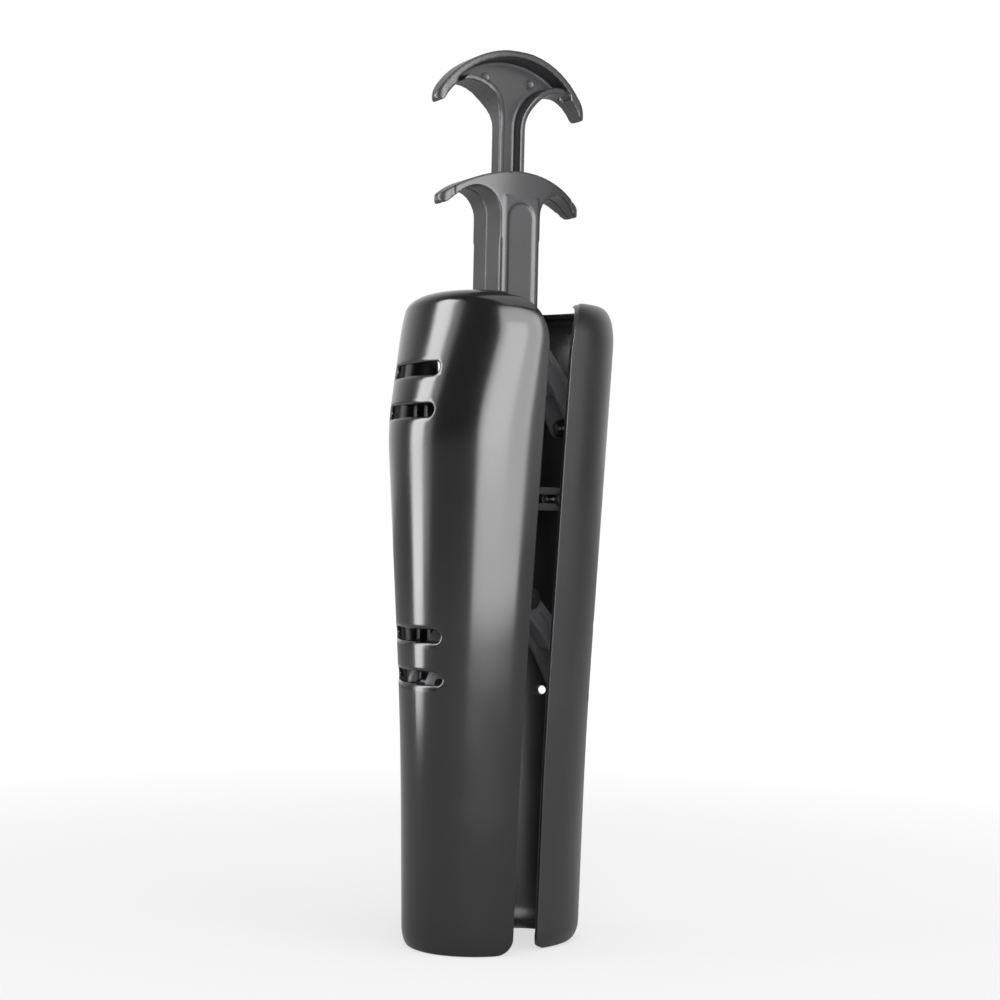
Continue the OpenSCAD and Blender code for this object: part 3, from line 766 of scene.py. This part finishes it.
def area_lamp(name, azimuth, elevation, distance, size, power, gloss_only):
    """A softbox that faces the object; azimuth from the camera's side, to its right."""
    lamp = bpy.data.lights.new(name, "AREA")
    lamp.shape = "RECTANGLE"
    lamp.size, lamp.size_y = size
    lamp.energy = power
    obj = bpy.data.objects.new(name, lamp)
    bpy.context.scene.collection.objects.link(obj)
    turn = math.radians(CAMERA_AZIMUTH + azimuth)
    rise = math.radians(elevation)
    obj.location = (distance * math.cos(turn) * math.cos(rise),
                    distance * math.sin(turn) * math.cos(rise),
                    AIM_HEIGHT + distance * math.sin(rise))
    obj.rotation_euler = (math.radians(90) - rise, 0, turn + math.radians(90))
    if gloss_only:
        obj.visible_diffuse = False
        obj.visible_camera = False


def set_world():
    """A dim even sky, white to the camera; glossy and clear faces see its far side white."""
    world = bpy.data.worlds.new("studio")
    bpy.context.scene.world = world
    world.use_nodes = True
    tree = world.node_tree
    tree.nodes.clear()
    path = add_node(tree, "ShaderNodeLightPath")
    place = add_node(tree, "ShaderNodeTexCoord")
    facing = add_node(tree, "ShaderNodeVectorMath", {0: place.outputs["Generated"], 1: BACKDROP},
                      operation="DOT_PRODUCT")
    behind = add_node(tree, "ShaderNodeMapRange", {
        "Value": facing.outputs["Value"], "From Min": 0.2, "From Max": 0.9},
        interpolation_type="SMOOTHSTEP")
    seen = add_node(tree, "ShaderNodeMath", {
        0: path.outputs["Is Glossy Ray"], 1: path.outputs["Is Transmission Ray"]},
        operation="ADD")
    shown = add_node(tree, "ShaderNodeMath", {
        0: seen.outputs[0], 1: behind.outputs["Result"], 2: path.outputs["Is Camera Ray"]},
        operation="MULTIPLY_ADD", use_clamp=True)
    dim = add_node(tree, "ShaderNodeMath", {
        0: path.outputs["Is Glossy Ray"], 1: SKY_GLOSS_CUT, 2: SKY}, operation="MULTIPLY_ADD")
    level = add_node(tree, "ShaderNodeMapRange", {
        "Value": shown.outputs[0], "To Min": dim.outputs[0], "To Max": 1.0})
    sky = add_node(tree, "ShaderNodeBackground", {
        "Strength": level.outputs["Result"], "Color": (1, 1, 1, 1)})
    add_node(tree, "ShaderNodeOutputWorld", {"Surface": sky.outputs["Background"]})


def floor_paper():
    """White paper sweep: a matt sheet that reads white to the camera and keeps shadows."""
    material = bpy.data.materials.new("paper_matt_white")
    material.use_nodes = True
    tree = material.node_tree
    tree.nodes.clear()
    path = add_node(tree, "ShaderNodeLightPath")
    place = add_node(tree, "ShaderNodeTexCoord")
    # fibres of 2.5 mm, as coarse as they need to show
    fibre = add_node(tree, "ShaderNodeTexNoise", {
        "Vector": place.outputs["Object"], "Scale": 400.0, "Detail": 2.0})
    bump = add_node(tree, "ShaderNodeBump", {
        "Height": fibre.outputs["Fac"], "Strength": 0.05, "Distance": 0.1 * MM})
    paper = add_node(tree, "ShaderNodeBsdfDiffuse", {
        "Normal": bump.outputs["Normal"], "Color": linear("#ececec")})
    glow = add_node(tree, "ShaderNodeEmission", {"Strength": PAPER_GLOW})
    seen = add_node(tree, "ShaderNodeMath", {
        0: path.outputs["Is Camera Ray"], 1: path.outputs["Is Transmission Ray"]},
        operation="ADD", use_clamp=True)
    away = add_node(tree, "ShaderNodeVectorMath", {0: place.outputs["Object"]}, operation="LENGTH")
    fade = add_node(tree, "ShaderNodeMapRange", {
        "Value": away.outputs["Value"], "From Min": 0.15, "From Max": 0.9, "To Min": 0.6},
        interpolation_type="SMOOTHSTEP")
    part = add_node(tree, "ShaderNodeMath", {0: seen.outputs[0], 1: fade.outputs["Result"]},
                    operation="MULTIPLY")
    mixed = add_node(tree, "ShaderNodeMixShader", {
        0: part.outputs[0], 1: paper.outputs[0], 2: glow.outputs[0]})
    add_node(tree, "ShaderNodeOutputMaterial", {"Surface": mixed.outputs[0]})
    return material


class BOOTSHAPER_OT_stage(bpy.types.Operator):
    """Lay the floor, hang the lamps and set the camera"""
    bl_idname = "boot_shaper.stage"
    bl_label = "Stage"

    def execute(self, context):
        settings = context.scene.boot_shaper_stage
        rings = [[(x, y, 0) for x, y in circle(radius, FLOOR_SIDES)] for radius in FLOOR_RADII]
        middle = tuple(range(FLOOR_SIDES, 2 * FLOOR_SIDES))
        floor = new_object("floor", rings[0] + rings[1], walls_between(rings) + [middle])
        floor.data.materials.append(floor_paper())
        set_world()
        for name, (azimuth, elevation, distance, size, share, gloss_only) in LAMPS.items():
            area_lamp(name, azimuth, elevation, distance, size, settings.key * share, gloss_only)
        camera = bpy.data.objects.new("camera", bpy.data.cameras.new("camera"))
        context.scene.collection.objects.link(camera)
        camera.location = CAMERA_PLACE
        camera.rotation_euler = [math.radians(a) for a in (90, CAMERA_ROLL, CAMERA_AZIMUTH - 270)]
        camera.data.lens = settings.lens
        camera.data.sensor_width = SENSOR
        camera.data.shift_y = CAMERA_RISE
        context.scene.camera = camera
        context.scene.view_settings.view_transform = "Standard"
        return {"FINISHED"}


# ---- panel and registration ----

class BOOTSHAPER_PT_panel(bpy.types.Panel):
    """Settings and makers of the boot shaper"""
    bl_idname = "BOOTSHAPER_PT_panel"
    bl_label = "Boot shaper"
    bl_space_type = "VIEW_3D"
    bl_region_type = "UI"
    bl_category = "Boot shaper"

    def draw(self, context):
        for name in GROUPS:
            group = getattr(context.scene, name)
            for key in group.bl_rna.properties.keys():
                if key not in ("rna_type", "name"):
                    self.layout.prop(group, key)
        for maker in MAKERS:
            self.layout.operator(maker.bl_idname)


MAKERS = (BOOTSHAPER_OT_finishes, BOOTSHAPER_OT_front_shell, BOOTSHAPER_OT_rear_shell,
          BOOTSHAPER_OT_handle, BOOTSHAPER_OT_grip, BOOTSHAPER_OT_spring, BOOTSHAPER_OT_stage)
GROUPS = {"boot_shaper_shells": BootShaperShellSettings,
          "boot_shaper_handles": BootShaperHandleSettings,
          "boot_shaper_stage": BootShaperStageSettings}


def register():
    """Register the settings, makers and panel."""
    for name, group in GROUPS.items():
        bpy.utils.register_class(group)
        setattr(bpy.types.Scene, name, PointerProperty(type=group))
    for cls in MAKERS + (BOOTSHAPER_PT_panel,):
        bpy.utils.register_class(cls)


def unregister():
    """Take them out again, in reverse."""
    for cls in (BOOTSHAPER_PT_panel,) + MAKERS[::-1]:
        bpy.utils.unregister_class(cls)
    for name, group in GROUPS.items():
        delattr(bpy.types.Scene, name)
        bpy.utils.unregister_class(group)


def main():
    """Build everything in order."""
    register()
    bpy.ops.boot_shaper.finishes()
    bpy.ops.boot_shaper.front_shell()
    bpy.ops.boot_shaper.rear_shell()
    bpy.ops.boot_shaper.handle()
    bpy.ops.boot_shaper.grip()
    bpy.ops.boot_shaper.spring()
    bpy.ops.boot_shaper.stage()


if __name__ == "__main__":
    main()
